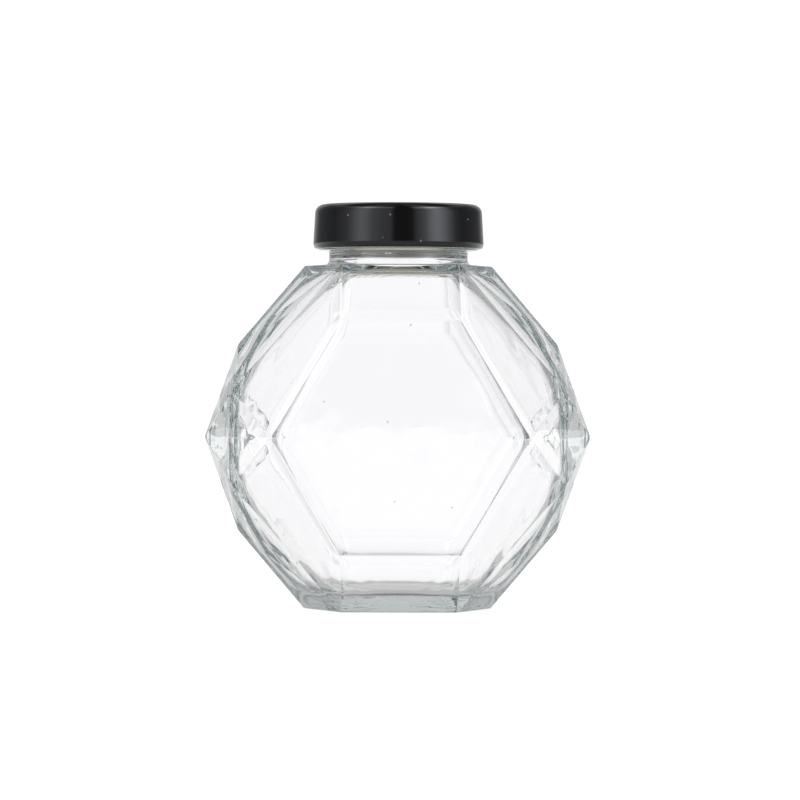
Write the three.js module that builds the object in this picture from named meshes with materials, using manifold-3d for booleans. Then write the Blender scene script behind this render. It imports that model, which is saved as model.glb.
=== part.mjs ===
// A hexagonal, faceted clear glass honey jar with a black twist-off metal cap.
// Millimetres, +Z up. The origin is under the middle of the base, and the front panel faces -Y.
import * as THREE from "three";
import { ConvexGeometry } from "three/addons/geometries/ConvexGeometry.js";
import { mergeVertices } from "three/addons/utils/BufferGeometryUtils.js";
import Module from "manifold-3d";

// Outside of the body. It is the same above and below its waist, left and right, front and back.
const SHOULDER_Z = 99.2; // flat shoulder under the neck
const WAIST_Z = SHOULDER_Z / 2; // height of the widest corners
const HALF_DEPTH = 36.6; // waist line to the front panel
const PANEL_TOP = { x: 17.3, z: 33.3 }; // front panel's upper corner, from the middle of the body
const PANEL_SIDE_X = 37; // front panel's side corner
const WAIST_X = 56; // outermost corner
const SIDE_CORNER = { x: 47.9, z: 13.7 }; // top of the kite-shaped side facet
const RIDGE_CORNER = { x: 46.2, z: 27.1 }; // corner of the outline, seen from the front
const CREST_CORNER = { x: 28.9, z: 35.8 }; // between the panel's slope and the shoulder
const SHOULDER_FRONT_X = 16.6; // shoulder's four front and back corners
const SHOULDER_SIDE_X = 27.1; // shoulder's two side corners

// Inside of the body: a smooth hollow that follows the facets, with rounded inner edges.
const WALL = 2.3;
const PANEL_WALL = 3.5; // front and back panels, and the slopes above and below them
const WAIST_WALL = 1.9; // upright facets beside the panels
const SHOULDER_WALL = 2.6;
const BASE_WALL = 6;
const INNER_ROUND = 2.4;
const SHOULDER_ROUND = 1.2;
const BASE_ROUND = 4;
const ROOM = { x: 47, z: 53 }; // half sizes of the smooth form that fills out the side corners with glass
const ROOM_BLEND = 40; // higher meets that form more sharply
const RECESS = { radius: 20, edge: 1.8, depth: 2.5 }; // hollow under the base

// Neck. Radii and heights of the plain neck, the bead under the cap, the finish and its lip.
const BORE_R = 17;
const NECK_R = 20.05;
const NECK_FOOT = 2; // fillet where the neck leaves the shoulder
const BEAD = { radius: 23.2, bottom: 103.6, top: 105 };
const FINISH_R = 21.4;
const LIP_Z = 115.6;
const LIP_ROUND = 1.4;
const RIDGE = { count: 4, radius: 0.9, bottom: 107.4, rise: 2.6, turn: THREE.MathUtils.degToRad(70) };

// Cap of pressed sheet metal, with a rolled lower edge and inward lugs.
const CAP_TOP_Z = 117;
const CAP_BOTTOM_Z = 104.2;
const CAP_TOP_R = 24.2;
const CAP_EDGE_ROUND = 2.6;
const CAP_SKIRT_R = 24.4;
const CURL = { radius: 24.67, inner: 23.5, height: 1.4, innerRound: 0.5, outerRound: 0.6 };
const CAP_WALL = 0.8;
const CAP_ROOF_Z = 115.9; // underside of the cap's top
const PANEL = { radius: 18.6, step: 0.4, slope: 0.8 }; // slightly sunken middle of the top
const LUG = { count: 4, width: 8, reach: 1.1, bottom: 105.4, height: 1 };

const ROUND_STEPS = 48;
const HOLLOW_STEPS = 72;
const ARC_STEPS = 5;

const wasm = await Module();
wasm.setup();

const at = (x, y, z) => new THREE.Vector3(x, y, z);
const SIGNS = [1, -1];

// Returns a solid from a closed geometry.
function solid(geometry) {
  geometry.deleteAttribute("normal");
  geometry.deleteAttribute("uv");
  const merged = mergeVertices(geometry, 1e-4);
  return new wasm.Manifold(
    new wasm.Mesh({
      numProp: 3,
      vertProperties: merged.attributes.position.array,
      triVerts: new Uint32Array(merged.index.array),
    }),
  );
}

// Returns a named mesh from a solid.
function meshOf(name, material, shape) {
  const { vertProperties, triVerts } = shape.getMesh();
  const geometry = new THREE.BufferGeometry();
  geometry.setAttribute("position", new THREE.BufferAttribute(vertProperties, 3));
  geometry.setIndex(new THREE.BufferAttribute(triVerts, 1));
  const faceted = geometry.toNonIndexed();
  faceted.computeVertexNormals();
  const mesh = new THREE.Mesh(faceted, material);
  mesh.name = name;
  return mesh;
}

// Returns the solid that a profile of [radius, height] points sweeps round the Z axis.
function turned(profile) {
  const points = profile.map(([radius, height]) => new THREE.Vector2(radius, height));
  return solid(new THREE.LatheGeometry(points, ROUND_STEPS).rotateX(Math.PI / 2));
}

// Returns the points of an arc round (radius, height), with its angles in degrees.
function arc(radius, height, size, from, to) {
  return Array.from({ length: ARC_STEPS + 1 }, (_, i) => {
    const angle = THREE.MathUtils.degToRad(from + ((to - from) * i) / ARC_STEPS);
    return [radius + size * Math.cos(angle), height + size * Math.sin(angle)];
  });
}

// Returns the point at x and z on the plane through three others.
function onPlane(x, z, a, b, c) {
  const normal = b.clone().sub(a).cross(c.clone().sub(a));
  const y = a.y - (normal.x * (x - a.x) + normal.z * (z - a.z)) / normal.y;
  return at(x, y, z);
}

// The body's corners in the front upper right eighth, from the middle of the body.
function bodyCorners() {
  const panelTop = at(PANEL_TOP.x, -HALF_DEPTH, PANEL_TOP.z);
  const panelSide = at(PANEL_SIDE_X, -HALF_DEPTH, 0);
  const waist = at(WAIST_X, 0, 0);
  const along = (SIDE_CORNER.x - PANEL_SIDE_X) / (WAIST_X - PANEL_SIDE_X);
  const side = at(SIDE_CORNER.x, HALF_DEPTH * (along - 1), SIDE_CORNER.z);
  const ridge = at(RIDGE_CORNER.x, 0, RIDGE_CORNER.z);
  const crest = onPlane(CREST_CORNER.x, CREST_CORNER.z, panelTop, panelSide, side);
  const shoulderFront = onPlane(SHOULDER_FRONT_X, WAIST_Z, crest, side, ridge);
  const shoulderSide = at(SHOULDER_SIDE_X, 0, WAIST_Z);
  return { panelTop, panelSide, waist, side, ridge, crest, shoulderFront, shoulderSide };
}

// Each facet of the same eighth, as three of its corners.
function bodyFacets(c) {
  const mirrored = ({ x, y, z }) => at(-x, y, z);
  return [
    [c.panelTop, c.panelSide, mirrored(c.panelTop)],
    [c.panelTop, c.shoulderFront, mirrored(c.panelTop)],
    [c.panelTop, c.crest, c.shoulderFront],
    [c.panelTop, c.panelSide, c.side],
    [c.panelSide, c.waist, c.side],
    [c.waist, c.ridge, c.side],
    [c.crest, c.side, c.ridge],
    [c.shoulderFront, c.ridge, c.shoulderSide],
    [c.shoulderFront, c.shoulderSide, mirrored(c.shoulderFront)],
  ];
}

// Returns every facet's outward normal and its distance from the middle, once each.
function bodyPlanes(corners) {
  const planes = new Map();
  for (const [a, b, c] of bodyFacets(corners)) {
    const normal = b.clone().sub(a).cross(c.clone().sub(a)).normalize();
    const distance = Math.abs(normal.dot(a));
    const [x, y, z] = normal.toArray().map(Math.abs);
    for (const sx of SIGNS)
      for (const sy of SIGNS)
        for (const sz of SIGNS) {
          const turnedNormal = at(sx * x, sy * y, sz * z);
          const key = turnedNormal.toArray().map((v) => Math.round(v * 1000) || 0).join();
          planes.set(key, { normal: turnedNormal, distance });
        }
  }
  return [...planes.values()];
}

// The body's outside: every corner mirrored into the eight eighths, with flat facets between.
function bodyOutside(corners) {
  const points = [];
  for (const { x, y, z } of Object.values(corners))
    for (const sx of SIGNS)
      for (const sy of SIGNS)
        for (const sz of SIGNS) points.push(at(sx * x, sy * y, sz * z));
  return solid(new ConvexGeometry(points)).translate(0, 0, WAIST_Z);
}

// Returns how far the inner walls lie in a direction, with a fillet wherever two of them meet.
function roundedReach(direction, walls) {
  let near = 0;
  let far = 2 * WAIST_X;
  for (let i = 0; i < 40; i++) {
    const middle = (near + far) / 2;
    const outside = walls.reduce((sum, { normal, reach, round }) => {
      const over = Math.max(0, (normal.dot(direction) * middle - reach) / round + 1);
      return sum + over ** 2;
    }, 0);
    if (outside > 1) far = middle;
    else near = middle;
  }
  return near;
}

// The body's hollow: the rounded inner walls, trimmed by a smooth form at the outermost corners.
function bodyHollow(corners) {
  const thickness = ({ x, z }) => {
    if (z > 0.99) return SHOULDER_WALL;
    if (z < -0.99) return BASE_WALL;
    if (Math.abs(x) < 0.01) return PANEL_WALL;
    return Math.abs(z) < 0.01 ? WAIST_WALL : WALL;
  };
  const rounding = ({ z }) => (z > 0.99 ? SHOULDER_ROUND : z < -0.99 ? BASE_ROUND : INNER_ROUND);
  const walls = bodyPlanes(corners).map(({ normal, distance }) => ({
    normal,
    reach: distance - thickness(normal),
    round: rounding(normal),
  }));
  const geometry = new THREE.SphereGeometry(1, HOLLOW_STEPS, HOLLOW_STEPS / 2).rotateX(Math.PI / 2);
  const position = geometry.attributes.position;
  const point = at(0, 0, 0);
  for (let i = 0; i < position.count; i++) {
    point.fromBufferAttribute(position, i);
    const room = Math.hypot(point.x / ROOM.x, point.z / ROOM.z);
    const wall = 1 / roundedReach(point, walls);
    point.multiplyScalar((wall ** ROOM_BLEND + room ** ROOM_BLEND) ** (-1 / ROOM_BLEND));
    position.setXYZ(i, point.x, point.y, point.z);
  }
  return solid(geometry).translate(0, 0, WAIST_Z);
}

// The neck's outside, from inside the shoulder up to the rounded lip.
function neckOutside() {
  const root = SHOULDER_Z - SHOULDER_WALL / 2;
  const beadRound = (BEAD.top - BEAD.bottom) / 2;
  return turned([
    [0, root],
    [NECK_R + NECK_FOOT, root],
    ...arc(NECK_R + NECK_FOOT, SHOULDER_Z + NECK_FOOT, NECK_FOOT, 270, 180),
    [NECK_R, BEAD.bottom - 0.8],
    ...arc(BEAD.radius - beadRound, BEAD.bottom + beadRound, beadRound, -90, 90),
    [FINISH_R, BEAD.top + 0.3],
    ...arc(FINISH_R - LIP_ROUND, LIP_Z - LIP_ROUND, LIP_ROUND, 0, 90),
    [0, LIP_Z],
  ]);
}

// The way in: a straight bore from inside the hollow, a little wider at the lip.
function neckBore() {
  const root = SHOULDER_Z - 3 * SHOULDER_WALL;
  return turned([
    [0, root],
    [BORE_R, root],
    [BORE_R, LIP_Z - LIP_ROUND],
    [BORE_R + LIP_ROUND / 3, LIP_Z - LIP_ROUND / 4],
    [BORE_R + LIP_ROUND, LIP_Z + 1],
    [0, LIP_Z + 1],
  ]);
}

// One sloping thread ridge: a round bar half sunk into the finish.
function threadRidge(start) {
  class Slope extends THREE.Curve {
    getPoint(t, target = at(0, 0, 0)) {
      const angle = start + t * RIDGE.turn;
      const height = RIDGE.bottom + t * RIDGE.rise;
      return target.set(FINISH_R * Math.cos(angle), FINISH_R * Math.sin(angle), height);
    }
  }
  const bar = new THREE.Shape().absarc(0, 0, RIDGE.radius, 0, 2 * Math.PI);
  const sweep = { steps: 10, curveSegments: 5, bevelEnabled: false, extrudePath: new Slope() };
  return solid(new THREE.ExtrudeGeometry(bar, sweep));
}

// The dish pressed into the underside, so that the jar stands on a flat rim.
function baseRecess() {
  return turned([
    [0, -1],
    [RECESS.radius, -1],
    ...arc(RECESS.radius - RECESS.edge, 0, RECESS.edge, 0, 90),
    [RECESS.radius / 2, (RECESS.edge + RECESS.depth) / 2],
    [0, RECESS.depth],
  ]);
}

function glassJar() {
  const corners = bodyCorners();
  let outside = bodyOutside(corners).add(neckOutside());
  for (let i = 0; i < RIDGE.count; i++)
    outside = outside.add(threadRidge((i * 2 * Math.PI) / RIDGE.count));
  return outside.subtract(bodyHollow(corners)).subtract(neckBore()).subtract(baseRecess());
}

// One lug: a short tongue that points in from the curl and grips under a thread ridge.
function capLug(angle) {
  const outer = CURL.inner + 0.5;
  const box = new THREE.BoxGeometry(LUG.reach + 0.5, LUG.width, LUG.height);
  box.translate(outer - (LUG.reach + 0.5) / 2, 0, LUG.bottom + LUG.height / 2).rotateZ(angle);
  return solid(box);
}

function metalCap() {
  const curlTop = CAP_BOTTOM_Z + CURL.height;
  const innerRound = CAP_EDGE_ROUND - CAP_WALL;
  let cap = turned([
    [0, CAP_ROOF_Z],
    ...arc(CAP_TOP_R - CAP_EDGE_ROUND, CAP_ROOF_Z - innerRound, innerRound, 90, 0),
    [CAP_SKIRT_R - CAP_WALL, curlTop + 0.6],
    [CURL.inner, curlTop],
    ...arc(CURL.inner + CURL.innerRound, CAP_BOTTOM_Z + CURL.innerRound, CURL.innerRound, 180, 270),
    ...arc(CURL.radius - CURL.outerRound, CAP_BOTTOM_Z + CURL.outerRound, CURL.outerRound, 270, 360),
    ...arc(CAP_TOP_R - CAP_EDGE_ROUND, CAP_TOP_Z - CAP_EDGE_ROUND, CAP_EDGE_ROUND, 0, 90),
    [PANEL.radius + PANEL.slope, CAP_TOP_Z],
    [PANEL.radius, CAP_TOP_Z - PANEL.step],
    [0, CAP_TOP_Z - PANEL.step],
  ]);
  for (let i = 0; i < LUG.count; i++) cap = cap.add(capLug(((i + 0.5) * 2 * Math.PI) / LUG.count));
  return cap;
}

const clearGlass = new THREE.MeshStandardMaterial({
  color: 0xdfe8e4,
  roughness: 0.03,
  metalness: 0,
  transparent: true,
  opacity: 0.35,
});
const blackPaint = new THREE.MeshStandardMaterial({ color: 0x0b0b0d, roughness: 0.35, metalness: 0.1 });

const group = new THREE.Group();
group.add(meshOf("glass_jar", clearGlass, glassJar()));
group.add(meshOf("cap", blackPaint, metalCap()));

export default group;
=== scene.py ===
"""A faceted, hexagonal honey jar of clear glass with a black twist-off metal cap, in a white studio."""

import math

import bmesh
import bpy
import numpy as np
from mathutils import Matrix, Vector, noise


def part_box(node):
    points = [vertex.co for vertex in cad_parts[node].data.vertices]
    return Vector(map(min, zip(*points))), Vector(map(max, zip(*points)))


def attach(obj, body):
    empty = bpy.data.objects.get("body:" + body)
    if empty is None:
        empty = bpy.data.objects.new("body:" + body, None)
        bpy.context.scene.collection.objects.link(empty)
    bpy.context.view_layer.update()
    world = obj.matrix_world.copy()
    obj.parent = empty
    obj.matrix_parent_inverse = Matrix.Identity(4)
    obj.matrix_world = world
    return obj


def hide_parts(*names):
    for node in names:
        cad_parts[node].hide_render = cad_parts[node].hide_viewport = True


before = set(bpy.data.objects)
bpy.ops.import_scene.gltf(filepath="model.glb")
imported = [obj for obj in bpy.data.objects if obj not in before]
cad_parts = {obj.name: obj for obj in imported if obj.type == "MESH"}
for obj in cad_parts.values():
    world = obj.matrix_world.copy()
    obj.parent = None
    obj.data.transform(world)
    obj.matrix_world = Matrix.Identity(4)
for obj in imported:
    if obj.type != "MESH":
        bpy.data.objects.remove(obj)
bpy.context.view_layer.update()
_, jar_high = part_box("glass_jar")
cap_low, cap_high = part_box("cap")

MM = 0.001
SIGNS = (1, -1)
SAME_PLACE = 1e-6  # points nearer to each other than this are one

# Outside of the body, from its middle. It is mirrored left to right, front to back and up to down.
# A pair is a corner's x and z.
SHOULDER_Z = 99.2 * MM
WAIST_Z = SHOULDER_Z / 2
HALF_DEPTH = jar_high.y
WAIST_X = jar_high.x
PANEL_TOP = (17.3 * MM, 33.3 * MM)
PANEL_SIDE_X = 37 * MM
SIDE_CORNER = (47.9 * MM, 13.7 * MM)
RIDGE_CORNER = (46.2 * MM, 27.1 * MM)
CREST_CORNER = (28.9 * MM, 35.8 * MM)
SHOULDER_FRONT_X = 16.6 * MM
SHOULDER_SIDE_X = 27.1 * MM
ONE_FACET = math.radians(0.3)  # triangles that lean apart less than this are one facet
EDGE_ROUND = 0.35 * MM  # fire-polished facet edges

# The glass behind the facets, and the fillets between the inner walls
WALL = 2.3 * MM
PANEL_WALL = 3.5 * MM
WAIST_WALL = 1.9 * MM
SHOULDER_WALL = 2.6 * MM
BASE_WALL = 6 * MM
LEVEL = 0.99  # a facet whose normal rises or falls more than this is level
NO_LEAN = 0.01  # a facet whose normal has less than this in a direction doesn't lean that way
INNER_ROUND = 2.4 * MM
BASE_ROUND = 4 * MM
SHOULDER_ROUND = 1.2 * MM
HALVINGS = 40  # steps of the search for an inner wall

# How far the hollow can reach sideways, front to back and upward. Front to back nothing bounds it.
UNBOUNDED = 1e6
ROOM = np.array([47, UNBOUNDED, 53]) * MM
ROOM_BLEND = 40  # how tightly it turns where it meets that limit
HOLLOW_SEGMENTS = 256
HOLLOW_RINGS = 220
RING_CROWDING = 1.35  # above 1, the rings stand closer together near the neck

# Unevenness of the inner walls. Each ripple has a strength, how fast it changes upward against sideways,
# and its cells in a metre.
RIPPLE = 0.16 * MM
RIPPLES = ((1, 1, 60), (0.6, 0.5, 160), (0.35, 0.4, 420))
RIPPLE_TOP = 0.7 * WAIST_Z  # it is gone here, below the shoulder
RIPPLE_FADE = 0.2 * WAIST_Z
PANEL_CALM = 0.12  # the share of it that is left behind the panels
SIDE_FROM = 36 * MM
SIDE_FADE = (WAIST_X - PANEL_SIDE_X) / 2
SIDE_RIPPLE = 1.5  # how much more there is towards the sides
LOW_FROM = 30 * MM
LOW_FADE = 0.15 * WAIST_Z
LOW_RIPPLE = 0.5  # how much more there is near the base

# Flow streaks beside the panels, drawn out along the panels' slanted edges
PANEL_LEAN = Vector((PANEL_TOP[1], PANEL_SIDE_X - PANEL_TOP[0])).normalized()
FLOW = 0.9
FLOW_CELLS = 380
FLOW_STRETCH = 0.15
FLOW_FROM = 24 * MM
FLOW_FADE = 6 * MM

# The dish in the underside
RECESS_R = 20 * MM
RECESS_EDGE = 1.8 * MM
RECESS_DEPTH = 2.5 * MM
RECESS_STEPS = 8

# Neck, up to the lip under the cap
BORE_R = 17 * MM
BORE_START = 2.3 * SHOULDER_WALL  # how far below the shoulder the bore is cut from
BORE_STEPS = 60
BULGE = 0.45 * MM  # the bore's narrowing at the foot of the bead
BULGE_Z = 103.4 * MM
BULGE_SPAN = 1.5 * MM
NECK_R = 20.05 * MM
NECK_FOOT = 2 * MM
BEAD_R = 23.2 * MM
BEAD_BOTTOM = 103.6 * MM
BEAD_TOP = 105 * MM
BEAD_FOOT = 0.8 * MM
BEAD_SLOPE = 0.3 * MM
FINISH_R = 21.4 * MM
LIP_Z = jar_high.z
LIP_ROUND = 1.4 * MM
THREAD_R = 0.9 * MM
THREAD_BOTTOM = 107.4 * MM
THREAD_RISE = 2.6 * MM
THREAD_TURN = math.radians(70)
THREAD_COUNT = 4
THREAD_SIDES = 16
THREAD_STEPS = 24

# Cap
CAP_TOP_Z = cap_high.z
CAP_BOTTOM_Z = cap_low.z
CAP_TOP_R = 24.2 * MM
CAP_EDGE_ROUND = 2.6 * MM
CAP_SKIRT_R = 24.4 * MM
CAP_WALL = 0.8 * MM
CAP_ROOF_Z = 115.9 * MM
PANEL_R = 18.6 * MM
PANEL_STEP = 0.4 * MM
PANEL_SLOPE = 0.8 * MM
CURL_R = cap_high.x
CURL_INNER = 23.5 * MM
CURL_HEIGHT = 1.4 * MM
CURL_SLOPE = 0.6 * MM
CURL_ROUND = 0.5 * MM
CURL_IN = 0.6 * MM  # how far the outer lower edge turns in
CURL_UP = 1.8 * MM  # how high up that turn starts
LUG_COUNT = 4
LUG_WIDTH = 8 * MM
LUG_REACH = 1.1 * MM
LUG_HEIGHT = 1 * MM
LUG_BOTTOM = 105.4 * MM
LUG_ROOT = 0.5 * MM  # the part that is sunk into the curl

# Finishes. A colour has its red, green and blue, and a tint is a colour that light is multiplied by.
WHITE = (1, 1, 1, 1)
BLACK = (0, 0, 0, 1)
NO_TINT = (1, 1, 1)
PINK = (1.015, 1, 1.02)
COOL = (0.97, 1, 1.06)
GLASS_TINT = (0.38, 0.5, 0.5, 1)
GLASS_DENSITY = 9.5
SEED = (0.15, 0.15, 0.15, 1)
LACQUER = (0.0035, 0.0035, 0.004, 1)
DUST = (0.14, 0.135, 0.13, 1)
SKIRT_LINING = (0.4, 0.4, 0.38, 1)
ROOF_LINING = (0.5, 0.5, 0.4, 1)
# Painted light: the cap's lining glows faintly, standing in for light that comes in through the glass
SKIRT_PAINTED_LIGHT = (0.2, 0.2, 0.2, 1)
ROOF_PAINTED_LIGHT = (0.6, 0.6, 0.48, 1)
LINING_GAP = 0.1 * MM
LACQUER_ROUGH = 0.1
CLOUD_ROUGH = 0.05

# Camera: a long lens about a metre and a half away, a little above the jar's middle
CAMERA_DISTANCE = 1.45
CAMERA_AZIMUTH = math.radians(-1.34)
CAMERA_Z = 64.6 * MM
AIM_X = 0.6 * MM
AIM_Z = 60.4 * MM
PIXELS_PER_METRE = 3450
PICTURE_SIDE = 800
SENSOR = 36
CAMERA_ROLL = 0.0035
LIGHT_TURNS = 48

# The floor. A stop is a distance from the jar's axis in metres, and the share of light there.
FLOOR_R = 6
FLOOR_GLOW = 0.895
FLOOR_DIM = 0.5
FLOOR_GREY = 0.18
# Painted shadow of the jar on the floor where the floor is seen through the glass
FLOOR_SHADOW_THROUGH_GLASS = ((0, 0.6), (0.012, 0.6), (0.03, 0.7), (0.042, 0.95), (0.06, 1))
# Painted shadow under the jar's base where the floor is seen by reflection
FLOOR_SHADOW_REFLECTED = ((0, 0.1), (0.019, 0.1), (0.021, 0.8), (0.042, 1))
# Painted shade: in reflections the floor is dimmer in front of and beside the jar than behind it
FLOOR_SHADE_IN_FRONT = ((0, 0), (0.1, 0), (0.4, 1), (1, 1))  # by the distance behind the jar

# The studio's light: seen straight, seen through the glass, on matt surfaces and in reflections
PLAIN_LIGHT = 1.06
BENT_LIGHT = 1.12
FILL_LIGHT = 1.25
BOX_LIGHT = 8
ROOM_LIGHT = 0.06

# Stops of light round about, by degrees from the camera's side: soft boxes left and right of the camera and
# a white back in reflections, the same as thick glass sees them, and the backdrop through thin glass
AROUND = (
    (-180, 0.2),
    (-155, 0.14),
    (-140, 0.05),
    (-98, 0.05),
    (-75, 0.18),
    (-65, 0.42),
    (-55, 0.66),
    (-47, 0.62),
    (-38, 0.36),
    (-22, 0.22),
    (-11, 0.2),
    (-8, 0),
    (18, 0),
    (22, 0.15),
    (36, 0.4),
    (44, 0.8),
    (53, 1.02),
    (62, 0.78),
    (72, 0.42),
    (83, 0.12),
    (95, 0.04),
    (140, 0.04),
    (155, 0.14),
    (180, 0.2),
)
GLASS_AROUND = (
    (-180, 0.78),
    (-150, 0.8),
    (-125, 0.5),
    (-90, 0.36),
    (-70, 0.6),
    (-60, 2.2),
    (-45, 2.2),
    (-30, 0.5),
    (-11, 0.4),
    (-8, 0.1),
    (20, 0.1),
    (23, 0.4),
    (40, 0.5),
    (48, 2.2),
    (60, 2.2),
    (70, 0.5),
    (90, 0.2),
    (125, 0.28),
    (150, 0.58),
    (180, 0.78),
)
BACKDROP = (
    (-180, 1),
    (-165, 1),
    (-152, 0.85),
    (-142, 0.66),
    (-110, 0.66),
    (-60, 0.65),
    (0, 0.6),
    (60, 0.55),
    (110, 0.66),
    (138, 0.82),
    (152, 0.8),
    (167, 0.82),
    (177, 1),
    (180, 1),
)

# Stops of the same lights by how a direction rises, from -1 straight down to 1 straight up
UPWARD = ((-1, 0.1), (-0.2, 0.36), (0.55, 0.36), (0.64, 1), (0.74, 1), (0.8, 0.15), (1, 0.1))
GLASS_UPWARD = (
    (-1, 0.5),
    (-0.3, 0.8),
    (0, 0.93),
    (0.1, 0.93),
    (0.5, 1),
    (0.73, 1),
    (0.85, 0.75),
    (1, 0.55),
)
OVERHEAD = ((-1, 1), (0.35, 1), (0.7, 0.7), (1, 0.6))


# Shaping helpers


def piece_from(bm, name):
    """Makes an object from a bmesh."""
    mesh = bpy.data.meshes.new(name)
    bm.to_mesh(mesh)
    bm.free()
    piece = bpy.data.objects.new(name, mesh)
    bpy.context.scene.collection.objects.link(piece)
    return piece


def arc(radius, height, size, start, end, steps=10):
    """Points of an arc round (radius, height), with its angles in degrees."""
    angles = [math.radians(start + (end - start) * i / steps) for i in range(steps + 1)]
    return [(radius + size * math.cos(a), height + size * math.sin(a)) for a in angles]


def spun(profile, steps=160):
    """Spins (radius, height) points, the first and last of them on the axis, into a closed form."""
    bm = bmesh.new()
    points = [bm.verts.new((radius, 0, height)) for radius, height in profile]
    for first, second in zip(points, points[1:]):
        bm.edges.new((first, second))
    bmesh.ops.spin(
        bm,
        geom=bm.verts[:] + bm.edges[:],
        cent=(0, 0, 0),
        axis=(0, 0, 1),
        dvec=(0, 0, 0),
        angle=2 * math.pi,
        steps=steps,
        use_merge=True,
        use_duplicate=False,
    )
    bmesh.ops.remove_doubles(bm, verts=bm.verts, dist=SAME_PLACE)
    bmesh.ops.recalc_face_normals(bm, faces=bm.faces)
    return bm


def round_edges(bm, size, segments):
    """Rounds every edge."""
    bmesh.ops.bevel(
        bm,
        geom=bm.edges,
        offset=size,
        offset_type="OFFSET",
        affect="EDGES",
        segments=segments,
        profile=0.5,
        material=-1,
        clamp_overlap=True,
    )


def combine(piece, tool, operation):
    """Joins a tool to a piece or cuts it out, and removes the tool."""
    modifier = piece.modifiers.new("combine", "BOOLEAN")
    modifier.object = tool
    modifier.operation = operation
    modifier.solver = "EXACT"
    shaped = piece.evaluated_get(bpy.context.evaluated_depsgraph_get())
    mesh = bpy.data.meshes.new_from_object(shaped)
    piece.modifiers.clear()
    piece.data = mesh
    bpy.data.objects.remove(tool)


def finish_shading(piece, sharp_angle):
    """Smooth shading that keeps flat facets flat, and edges above an angle in degrees crisp."""
    mesh = piece.data
    mesh.polygons.foreach_set("use_smooth", [True] * len(mesh.polygons))
    mesh.set_sharp_from_angle(angle=math.radians(sharp_angle))
    weighted = piece.modifiers.new("even_shading", "WEIGHTED_NORMAL")
    weighted.keep_sharp = True
    weighted.mode = "FACE_AREA"
    weighted.weight = 50


# The glass jar


def on_plane(x, z, a, b, c):
    """The point at x and z on the plane through three others."""
    normal = (b - a).cross(c - a)
    return Vector((x, a.y - (normal.x * (x - a.x) + normal.z * (z - a.z)) / normal.y, z))


def body_corners():
    """The body's corners in its front upper right eighth, from its middle."""
    panel_top = Vector((PANEL_TOP[0], -HALF_DEPTH, PANEL_TOP[1]))
    panel_side = Vector((PANEL_SIDE_X, -HALF_DEPTH, 0))
    waist = Vector((WAIST_X, 0, 0))
    along = (SIDE_CORNER[0] - PANEL_SIDE_X) / (WAIST_X - PANEL_SIDE_X)
    side = Vector((SIDE_CORNER[0], HALF_DEPTH * (along - 1), SIDE_CORNER[1]))
    ridge = Vector((RIDGE_CORNER[0], 0, RIDGE_CORNER[1]))
    crest = on_plane(*CREST_CORNER, panel_top, panel_side, side)
    shoulder_front = on_plane(SHOULDER_FRONT_X, WAIST_Z, crest, side, ridge)
    shoulder_side = Vector((SHOULDER_SIDE_X, 0, WAIST_Z))
    return (panel_top, panel_side, waist, side, ridge, crest, shoulder_front, shoulder_side)


def mirrored(corner):
    """A corner in all eight eighths."""
    places = []
    for side in SIGNS:
        for front in SIGNS:
            places += [(side * corner.x, front * corner.y, up * corner.z) for up in SIGNS]
    return places


def faceted_body():
    """The body's flat facets, which meet at sharp edges."""
    bm = bmesh.new()
    for corner in body_corners():
        for place in mirrored(corner):
            bm.verts.new(place)
    bmesh.ops.remove_doubles(bm, verts=bm.verts, dist=SAME_PLACE)
    bmesh.ops.convex_hull(bm, input=bm.verts)
    bmesh.ops.dissolve_limit(bm, angle_limit=ONE_FACET, verts=bm.verts, edges=bm.edges)
    return bm


def facet_planes():
    """Every facet's outward normal and its distance from the body's middle."""
    bm = faceted_body()
    bm.normal_update()
    planes = [(face.normal.copy(), abs(face.normal.dot(face.verts[0].co))) for face in bm.faces]
    bm.free()
    return planes


def wall_behind(normal):
    """The thickness of the glass behind a facet."""
    if normal.z > LEVEL:
        return SHOULDER_WALL
    if normal.z < -LEVEL:
        return BASE_WALL
    if abs(normal.x) < NO_LEAN:
        return PANEL_WALL
    if abs(normal.z) < NO_LEAN:
        return WAIST_WALL
    return WALL


def rounded_reach(leans, reaches, rounds):
    """How far the inner walls lie in each direction, with a fillet wherever two of them meet."""
    near, far = np.zeros(len(leans)), np.full(len(leans), 2 * WAIST_X)
    for _ in range(HALVINGS):
        middle = (near + far) / 2
        over = np.clip((leans * middle[:, None] - reaches) / rounds + 1, 0, None)
        outside = (over**2).sum(1) > 1
        near, far = np.where(outside, near, middle), np.where(outside, middle, far)
    return near


def hollow_reach(way):
    """How far the hollow reaches from the body's middle in each direction."""
    planes = facet_planes()
    normals = np.array([normal for normal, _ in planes])
    reaches = np.array([distance - wall_behind(normal) for normal, distance in planes])
    rounds = np.where(normals[:, 2] < -LEVEL, BASE_ROUND, INNER_ROUND)
    rounds = np.where(normals[:, 2] > LEVEL, SHOULDER_ROUND, rounds)
    walls = rounded_reach(way @ normals.T, reaches, rounds)
    room = np.linalg.norm(way / ROOM, axis=1)
    return ((1 / walls) ** ROOM_BLEND + room**ROOM_BLEND) ** (-1 / ROOM_BLEND)


def rise(value, start, length):
    """From 0 at the start to 1 a length further on."""
    return min(1, max(0, (value - start) / length))


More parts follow.
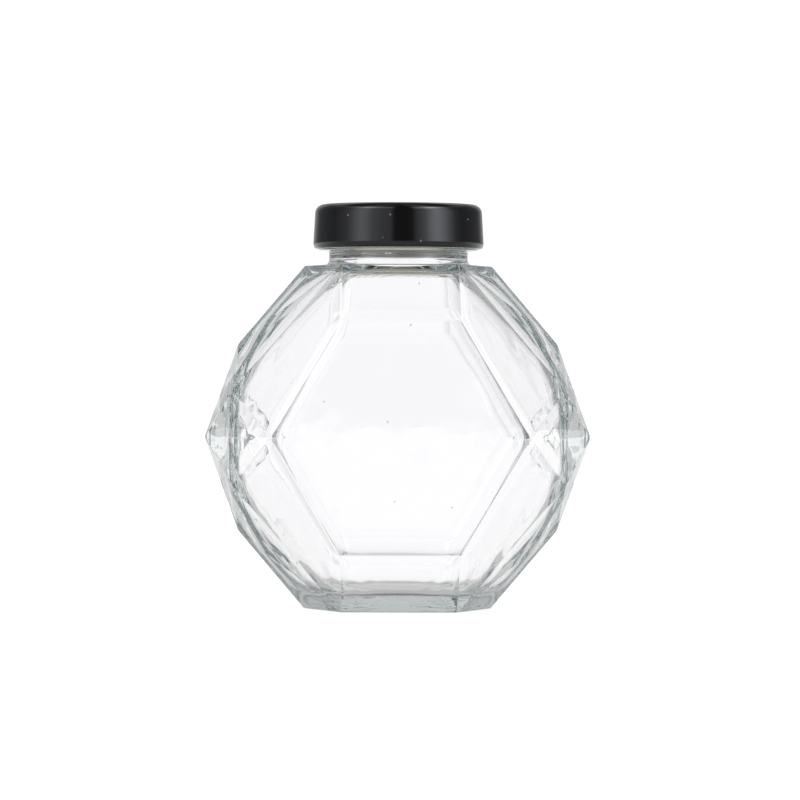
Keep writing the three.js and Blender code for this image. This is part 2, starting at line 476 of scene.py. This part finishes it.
def unevenness(place):
    """How far the inner wall wavers at a place, measured from the body's middle."""
    wave = 0
    for strength, upright, cells in RIPPLES:
        wave += strength * noise.noise(Vector((place.x, place.y, place.z * upright)) * cells)
    outward = abs(place.x) * PANEL_LEAN.x + abs(place.z) * PANEL_LEAN.y
    along = abs(place.z) * PANEL_LEAN.x - abs(place.x) * PANEL_LEAN.y
    beside = rise(outward, FLOW_FROM, FLOW_FADE)
    streak = Vector((outward, along * FLOW_STRETCH, place.y * FLOW_STRETCH)) * FLOW_CELLS
    wave *= PANEL_CALM + (1 - PANEL_CALM) * beside
    wave += FLOW * beside * noise.noise(streak)
    aside = rise(abs(place.x), SIDE_FROM, SIDE_FADE)
    low = rise(-place.z, LOW_FROM, LOW_FADE)
    wave *= 1 + SIDE_RIPPLE * aside + LOW_RIPPLE * low
    return RIPPLE * rise(-place.z, -RIPPLE_TOP, RIPPLE_FADE) * wave


def hollow():
    """The room inside the body: inner walls that follow the facets, with rounded edges, slightly uneven."""
    bm = bmesh.new()
    bmesh.ops.create_uvsphere(bm, u_segments=HOLLOW_SEGMENTS, v_segments=HOLLOW_RINGS, radius=1)
    way = np.array([vert.co for vert in bm.verts])
    turn = np.arctan2(way[:, 1], way[:, 0])
    polar = math.pi * (np.arccos(np.clip(way[:, 2], -1, 1)) / math.pi) ** RING_CROWDING
    way = np.stack([np.sin(polar) * np.cos(turn), np.sin(polar) * np.sin(turn), np.cos(polar)], 1)
    for vert, direction, distance in zip(bm.verts, way, hollow_reach(way)):
        place = Vector(direction * distance)
        vert.co = place * (1 + unevenness(place) / distance)
    bmesh.ops.translate(bm, verts=bm.verts, vec=(0, 0, WAIST_Z))
    return bm


def neck_bore():
    """The way in, a little narrower behind the bead and wider at the lip."""
    root = SHOULDER_Z - BORE_START
    height = LIP_Z - LIP_ROUND - root
    wall = []
    for step in range(BORE_STEPS + 1):
        z = root + height * step / BORE_STEPS
        bulge = BULGE * math.exp(-(((z - BULGE_Z) / BULGE_SPAN) ** 2))
        wall.append((BORE_R - bulge, z))
    return spun(
        [
            (0, root),
            *wall,
            (BORE_R + LIP_ROUND / 3, LIP_Z - LIP_ROUND / 4),
            (BORE_R + LIP_ROUND, LIP_Z + MM),
            (0, LIP_Z + MM),
        ]
    )


def neck_outside():
    """The neck from inside the shoulder to the lip, with the bead under the cap."""
    root = SHOULDER_Z - SHOULDER_WALL / 2
    bead_round = (BEAD_TOP - BEAD_BOTTOM) / 2
    return spun(
        [
            (0, root),
            (NECK_R + NECK_FOOT, root),
            *arc(NECK_R + NECK_FOOT, SHOULDER_Z + NECK_FOOT, NECK_FOOT, 270, 180),
            *arc(NECK_R + BEAD_FOOT, BEAD_BOTTOM - BEAD_FOOT, BEAD_FOOT, 180, 90, steps=4),
            *arc(BEAD_R - bead_round, BEAD_BOTTOM + bead_round, bead_round, -90, 90),
            (FINISH_R, BEAD_TOP + BEAD_SLOPE),
            *arc(FINISH_R - LIP_ROUND, LIP_Z - LIP_ROUND, LIP_ROUND, 0, 90),
            (0, LIP_Z),
        ]
    )


def thread_ridge(start):
    """One sloping thread ridge, half sunk into the finish."""
    turn = THREAD_TURN / THREAD_STEPS
    bm = bmesh.new()
    bmesh.ops.create_circle(bm, cap_ends=False, segments=THREAD_SIDES, radius=THREAD_R)
    bmesh.ops.rotate(bm, verts=bm.verts, matrix=Matrix.Rotation(math.pi / 2, 3, "X"))
    bmesh.ops.translate(bm, verts=bm.verts, vec=(FINISH_R, 0, THREAD_BOTTOM))
    bmesh.ops.rotate(bm, verts=bm.verts, matrix=Matrix.Rotation(start, 3, "Z"))
    rim = bm.edges[:]
    bmesh.ops.contextual_create(bm, geom=rim)
    for _ in range(THREAD_STEPS):
        grown = bmesh.ops.extrude_edge_only(bm, edges=rim)["geom"]
        moved = [g for g in grown if isinstance(g, bmesh.types.BMVert)]
        rim = [g for g in grown if isinstance(g, bmesh.types.BMEdge)]
        bmesh.ops.rotate(bm, verts=moved, matrix=Matrix.Rotation(turn, 3, "Z"))
        bmesh.ops.translate(bm, verts=moved, vec=(0, 0, THREAD_RISE / THREAD_STEPS))
    bmesh.ops.contextual_create(bm, geom=rim)
    bmesh.ops.recalc_face_normals(bm, faces=bm.faces)
    return bm


def base_recess():
    """The shallow dish in the underside, with a rounded edge and a slightly domed middle."""
    edge = RECESS_R - RECESS_EDGE
    height = RECESS_DEPTH - RECESS_EDGE
    dome = []
    for step in range(1, RECESS_STEPS + 1):
        out = 1 - step / RECESS_STEPS
        dome.append((edge * out, RECESS_EDGE + height * (1 - out**2)))
    below = [(0, -MM), (RECESS_R, -MM)]
    return spun([*below, *arc(edge, 0, RECESS_EDGE, 0, 90, steps=6), *dome], steps=96)


def make_jar():
    """The body with its neck and thread ridges, cut hollow."""
    body = faceted_body()
    round_edges(body, EDGE_ROUND, segments=4)
    bmesh.ops.recalc_face_normals(body, faces=body.faces)
    bmesh.ops.translate(body, verts=body.verts, vec=(0, 0, WAIST_Z))
    jar = piece_from(body, "faceted_glass")
    combine(jar, piece_from(neck_outside(), "neck"), "UNION")
    for index in range(THREAD_COUNT):
        ridge = thread_ridge(index * 2 * math.pi / THREAD_COUNT)
        combine(jar, piece_from(ridge, "thread"), "UNION")
    combine(jar, piece_from(hollow(), "hollow"), "DIFFERENCE")
    combine(jar, piece_from(neck_bore(), "bore"), "DIFFERENCE")
    combine(jar, piece_from(base_recess(), "recess"), "DIFFERENCE")
    finish_shading(jar, sharp_angle=32)
    return jar


# The cap


def cap_shell():
    """The metal from the middle of its roof, down the inside, round the curl and up to the sunk top."""
    curl_top = CAP_BOTTOM_Z + CURL_HEIGHT
    inner_round = CAP_EDGE_ROUND - CAP_WALL
    turned_in = []
    for across, up in arc(0, 0, 1, 270, 360, steps=12):
        turned_in.append((CURL_R - CURL_IN * (1 - across), CAP_BOTTOM_Z + CURL_UP * (1 + up)))
    return spun(
        [
            (0, CAP_ROOF_Z),
            *arc(CAP_TOP_R - CAP_EDGE_ROUND, CAP_ROOF_Z - inner_round, inner_round, 90, 0),
            (CAP_SKIRT_R - CAP_WALL, curl_top + CURL_SLOPE),
            (CURL_INNER, curl_top),
            (CURL_INNER, CAP_BOTTOM_Z + CURL_HEIGHT / 2),
            *arc(CURL_INNER + CURL_ROUND, CAP_BOTTOM_Z + CURL_ROUND, CURL_ROUND, 180, 270, steps=5),
            *turned_in,
            *arc(CAP_TOP_R - CAP_EDGE_ROUND, CAP_TOP_Z - CAP_EDGE_ROUND, CAP_EDGE_ROUND, 0, 90),
            (PANEL_R + PANEL_SLOPE, CAP_TOP_Z),
            (PANEL_R, CAP_TOP_Z - PANEL_STEP),
            (0, CAP_TOP_Z - PANEL_STEP),
        ]
    )


def cap_lug(start):
    """One lug, which reaches in from the curl under the thread ridges."""
    bm = bmesh.new()
    bmesh.ops.create_cube(bm, size=1)
    bmesh.ops.scale(bm, vec=(LUG_REACH + LUG_ROOT, LUG_WIDTH, LUG_HEIGHT), verts=bm.verts)
    round_edges(bm, LUG_HEIGHT / 4, segments=3)
    out = CURL_INNER + (LUG_ROOT - LUG_REACH) / 2
    bmesh.ops.translate(bm, verts=bm.verts, vec=(out, 0, LUG_BOTTOM + LUG_HEIGHT / 2))
    bmesh.ops.rotate(bm, verts=bm.verts, cent=(0, 0, 0), matrix=Matrix.Rotation(start, 3, "Z"))
    return bm


def make_cap():
    """The cap's shell with its lugs."""
    cap = piece_from(cap_shell(), "painted_cap")
    for index in range(LUG_COUNT):
        lug = cap_lug((index + 0.5) * 2 * math.pi / LUG_COUNT)
        combine(cap, piece_from(lug, "lug"), "UNION")
    finish_shading(cap, sharp_angle=40)
    return cap


# Finishes


class Shade:
    """A shader socket that does sums: each sum adds its Math node."""

    def __init__(self, tree, socket):
        self.tree = tree
        self.socket = socket

    def _sum(self, operation, first, second):
        return node(self.tree, "ShaderNodeMath", {"operation": operation}, {0: first, 1: second}).out()

    def __add__(self, other):
        return self._sum("ADD", self, other)

    def __radd__(self, other):
        return self._sum("ADD", other, self)

    def __mul__(self, other):
        return self._sum("MULTIPLY", self, other)

    def __rmul__(self, other):
        return self._sum("MULTIPLY", other, self)

    def __pow__(self, other):
        return self._sum("POWER", self, other)

    def above(self, other):
        return self._sum("GREATER_THAN", self, other)

    def below(self, other):
        return self._sum("LESS_THAN", self, other)


class Node:
    """A shader node whose outputs are read as Shade values."""

    def __init__(self, tree, made):
        self.tree = tree
        self.made = made

    def out(self, name=0):
        return Shade(self.tree, self.made.outputs[name])


def node(tree, kind, settings=None, inputs=None):
    """Adds a node: its settings first, then the values or links of its sockets."""
    made = tree.nodes.new(kind)
    for name, value in (settings or {}).items():
        if name == "stops":
            ramp = made.color_ramp
            while len(ramp.elements) < len(value):
                ramp.elements.new(0.5)
            for element, (place, colour) in zip(ramp.elements, value):
                element.position = place
                element.color = colour
        else:
            setattr(made, name, value)
    for name, value in (inputs or {}).items():
        if isinstance(value, Shade):
            tree.links.new(value.socket, made.inputs[name])
        else:
            made.inputs[name].default_value = value
    return Node(tree, made)


def new_material(name):
    """A material and its empty node tree."""
    material = bpy.data.materials.new(name)
    material.use_nodes = True
    tree = material.node_tree
    tree.nodes.clear()
    return material, tree


def grey(light):
    """A grey as light as that."""
    return (light, light, light, 1)


def blend(tree, share, first, second):
    """The first colour, and the second where the share is 1."""
    return node(tree, "ShaderNodeMix", {"data_type": "RGBA"}, {0: share, 6: first, 7: second}).out(2)


def multiplied(tree, first, second):
    """One colour times another."""
    settings = {"data_type": "RGBA", "blend_type": "MULTIPLY"}
    return node(tree, "ShaderNodeMix", settings, {0: 1, 6: first, 7: second}).out(2)


def light_ramp(tree, value, stops, tint=NO_TINT):
    """Light that changes from stop to stop over a value between 0 and 1."""
    red, green, blue = tint
    colours = [(place, (red * light, green * light, blue * light, 1)) for place, light in stops]
    return node(tree, "ShaderNodeValToRGB", {"stops": colours}, {0: value}).out()


def cloudy(tree, place, cells, detail):
    """Soft noise with that many cells in a metre."""
    return node(tree, "ShaderNodeTexNoise", None, {"Vector": place, "Scale": cells, "Detail": detail}).out()


def bumpy(tree, height, depth, strength):
    """A fine relief."""
    inputs = {"Height": height, "Distance": depth, "Strength": strength}
    return node(tree, "ShaderNodeBump", None, inputs).out()


def dots(tree, place, cells, size, left_out):
    """1 on small scattered dots and 0 between them, with a share of the dots left out."""
    inputs = {"Vector": place, "Scale": cells, "Randomness": 1}
    scattered = node(tree, "ShaderNodeTexVoronoi", {"feature": "F1"}, inputs)
    return scattered.out("Distance").below(size) * scattered.out("Color").above(left_out)


def either(tree, share, first, second):
    """The first shader, and the second where the share is 1."""
    return node(tree, "ShaderNodeMixShader", None, {0: share, 1: first, 2: second}).out()


def both(tree, first, second):
    """Two shaders added up."""
    return node(tree, "ShaderNodeAddShader", None, {0: first, 1: second}).out()


def turned_by(tree, kind):
    """1 on light that has been through at least one turn of that kind, and 0 on the rest."""
    return node(tree, "ShaderNodeLightPath").out(kind + " Depth").above(0.5)


def clear_glass():
    """Clear glass with a grey-green tint in its depth, a faint ripple and a few dark seeds."""
    material, tree = new_material("clear_glass")
    place = node(tree, "ShaderNodeTexCoord").out("Object")
    ripple = cloudy(tree, place, cells=55, detail=2)
    seed = dots(tree, place, cells=330, size=0.07, left_out=0.9)
    shader = node(
        tree,
        "ShaderNodeBsdfPrincipled",
        None,
        {
            "Base Color": blend(tree, seed, WHITE, SEED),
            "Roughness": 0.0,
            "IOR": 1.52,
            "Transmission Weight": 1.0,
            "Normal": bumpy(tree, ripple, depth=0.05 * MM, strength=0.3),
        },
    )
    tint = node(tree, "ShaderNodeVolumeAbsorption", None, {"Color": GLASS_TINT, "Density": GLASS_DENSITY})
    node(tree, "ShaderNodeOutputMaterial", None, {"Surface": shader.out(), "Volume": tint.out()})
    return material


def black_paint():
    """Glossy black lacquer with dust specks, and the pale lining inside the cap's roof and skirt, which
    glows faintly with painted light.
    """
    material, tree = new_material("black_paint")
    place = node(tree, "ShaderNodeTexCoord").out("Object")
    peel = cloudy(tree, place, cells=900, detail=3)
    cloud = cloudy(tree, place, cells=90, detail=4)
    speck = dots(tree, place, cells=420, size=0.12, left_out=0.66)
    parts = node(tree, "ShaderNodeSeparateXYZ", None, {0: place})
    height = parts.out("Z")
    radius = (parts.out("X") ** 2 + parts.out("Y") ** 2) ** 0.5
    roof = radius.below(CAP_TOP_R - CAP_EDGE_ROUND) * height.below(CAP_ROOF_Z + PANEL_STEP / 2)
    skirt = radius.below(CAP_SKIRT_R - CAP_WALL / 2) * radius.above(CURL_INNER - LINING_GAP)
    skirt = skirt * height.below(CAP_ROOF_Z - CAP_EDGE_ROUND / 2)
    skirt = skirt * height.above(CAP_BOTTOM_Z + CURL_HEIGHT / 2)
    outside = blend(tree, speck, LACQUER, DUST)
    shader = node(
        tree,
        "ShaderNodeBsdfPrincipled",
        None,
        {
            "Base Color": blend(tree, roof, blend(tree, skirt, outside, SKIRT_LINING), ROOF_LINING),
            "Roughness": LACQUER_ROUGH + CLOUD_ROUGH * cloud,
            "IOR": 1.5,
            "Specular IOR Level": 0.5,
            # Painted light: the lining inside the roof and skirt glows, in place of light reaching it
            # through the glass
            "Emission Color": blend(tree, roof, blend(tree, skirt, BLACK, SKIRT_PAINTED_LIGHT), ROOF_PAINTED_LIGHT),
            "Emission Strength": 0.4,
            "Normal": bumpy(tree, peel, depth=0.02 * MM, strength=0.25),
        },
    )
    node(tree, "ShaderNodeOutputMaterial", None, {"Surface": shader.out()})
    return material


def floor_paint():
    """A glowing white table with a painted shadow near the jar where it is seen through the glass or by
    reflection, and painted shade in front of the jar in reflections.
    """
    material, tree = new_material("white_floor")
    place = node(tree, "ShaderNodeTexCoord").out("Object")
    away = node(tree, "ShaderNodeVectorMath", {"operation": "LENGTH"}, {0: place}).out("Value")
    behind = node(tree, "ShaderNodeSeparateXYZ", None, {0: place}).out("Y")
    # Painted shade: seen by reflection, the floor is dimmer in front of the jar than behind it
    painted_front_shade = blend(tree, light_ramp(tree, behind, FLOOR_SHADE_IN_FRONT), grey(FLOOR_DIM), grey(FLOOR_GLOW))
    # Painted shadow under the jar where the floor is seen by reflection
    reflected = multiplied(tree, painted_front_shade, light_ramp(tree, away, FLOOR_SHADOW_REFLECTED))

    def glow(colour, strength):
        return node(tree, "ShaderNodeEmission", None, {"Color": colour, "Strength": strength}).out()

    plain = glow(WHITE, FLOOR_GLOW)
    # Painted shadow round the jar where the floor is seen through the glass
    bent = glow(light_ramp(tree, away, FLOOR_SHADOW_THROUGH_GLASS, PINK), FLOOR_GLOW)
    seen = either(tree, turned_by(tree, "Transmission"), plain, bent)
    light = either(tree, turned_by(tree, "Glossy"), seen, glow(reflected, 1))
    paint = node(tree, "ShaderNodeBsdfDiffuse", None, {"Color": grey(FLOOR_GREY)}).out()
    node(tree, "ShaderNodeOutputMaterial", None, {"Surface": both(tree, light, paint)})
    return material


# The studio


def make_floor():
    """A wide round table."""
    bm = bmesh.new()
    bmesh.ops.create_circle(bm, cap_ends=True, segments=96, radius=FLOOR_R)
    floor = piece_from(bm, "studio_floor")
    floor.data.materials.append(floor_paint())


def make_world():
    """White where it is seen straight or through thin glass, and soft boxes where a surface reflects."""
    world = bpy.data.worlds.new("studio")
    bpy.context.scene.world = world
    world.use_nodes = True
    tree = world.node_tree
    tree.nodes.clear()
    way = node(tree, "ShaderNodeTexCoord").out("Generated")
    parts = node(tree, "ShaderNodeSeparateXYZ", None, {0: way})
    axes = {0: parts.out("X"), 1: -1 * parts.out("Y")}
    turn = node(tree, "ShaderNodeMath", {"operation": "ARCTAN2"}, axes).out() * (0.5 / math.pi) + 0.5
    lift = parts.out("Z") * 0.5 + 0.5

    def light_from(around, upward, around_tint=NO_TINT, upward_tint=NO_TINT):
        """Light that changes both round about and upward."""
        by_turn = [((angle + 180) / 360, light) for angle, light in around]
        by_lift = [((height + 1) / 2, light) for height, light in upward]
        sideways = light_ramp(tree, turn, by_turn, around_tint)
        return multiplied(tree, sideways, light_ramp(tree, lift, by_lift, upward_tint))

    def shining(colour, strength):
        return node(tree, "ShaderNodeBackground", None, {"Color": colour, "Strength": strength}).out()

    through = turned_by(tree, "Transmission")
    beyond = light_from(BACKDROP, OVERHEAD, upward_tint=PINK)
    seen = either(tree, through, shining(WHITE, PLAIN_LIGHT), shining(beyond, BENT_LIGHT))
    open_air = either(tree, turned_by(tree, "Diffuse"), seen, shining(WHITE, FILL_LIGHT))
    boxes = shining(light_from(AROUND, UPWARD, around_tint=COOL), BOX_LIGHT)
    in_air = both(tree, boxes, shining(WHITE, ROOM_LIGHT))
    in_glass = shining(light_from(GLASS_AROUND, GLASS_UPWARD), 1)
    reflected = either(tree, through, in_air, in_glass)
    everywhere = either(tree, turned_by(tree, "Glossy"), open_air, reflected)
    node(tree, "ShaderNodeOutputWorld", None, {"Surface": everywhere})


def make_camera():
    """The photograph's view."""
    camera = bpy.data.cameras.new("camera")
    camera.sensor_width = SENSOR
    camera.lens = PIXELS_PER_METRE * CAMERA_DISTANCE / PICTURE_SIDE * SENSOR
    camera.dof.use_dof = False
    eye = bpy.data.objects.new("camera", camera)
    bpy.context.scene.collection.objects.link(eye)
    side = CAMERA_DISTANCE * math.sin(CAMERA_AZIMUTH)
    back = CAMERA_DISTANCE * math.cos(CAMERA_AZIMUTH)
    eye.location = (side, -back, CAMERA_Z)
    aim = Vector((AIM_X, 0, AIM_Z)) - eye.location
    turn = aim.to_track_quat("-Z", "Y").to_matrix() @ Matrix.Rotation(CAMERA_ROLL, 3, "Z")
    eye.rotation_euler = turn.to_euler()
    bpy.context.scene.camera = eye


make_camera()
make_world()
make_floor()
bpy.context.scene.view_settings.view_transform = "Standard"
# Light takes many turns inside thick glass before it leaves.
bpy.context.scene.cycles.max_bounces = LIGHT_TURNS
bpy.context.scene.cycles.glossy_bounces = LIGHT_TURNS
bpy.context.scene.cycles.transmission_bounces = LIGHT_TURNS

jar = make_jar()
jar.data.materials.append(clear_glass())
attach(jar, "root")
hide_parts("glass_jar")

cap = make_cap()
cap.data.materials.append(black_paint())
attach(cap, "root")
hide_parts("cap")
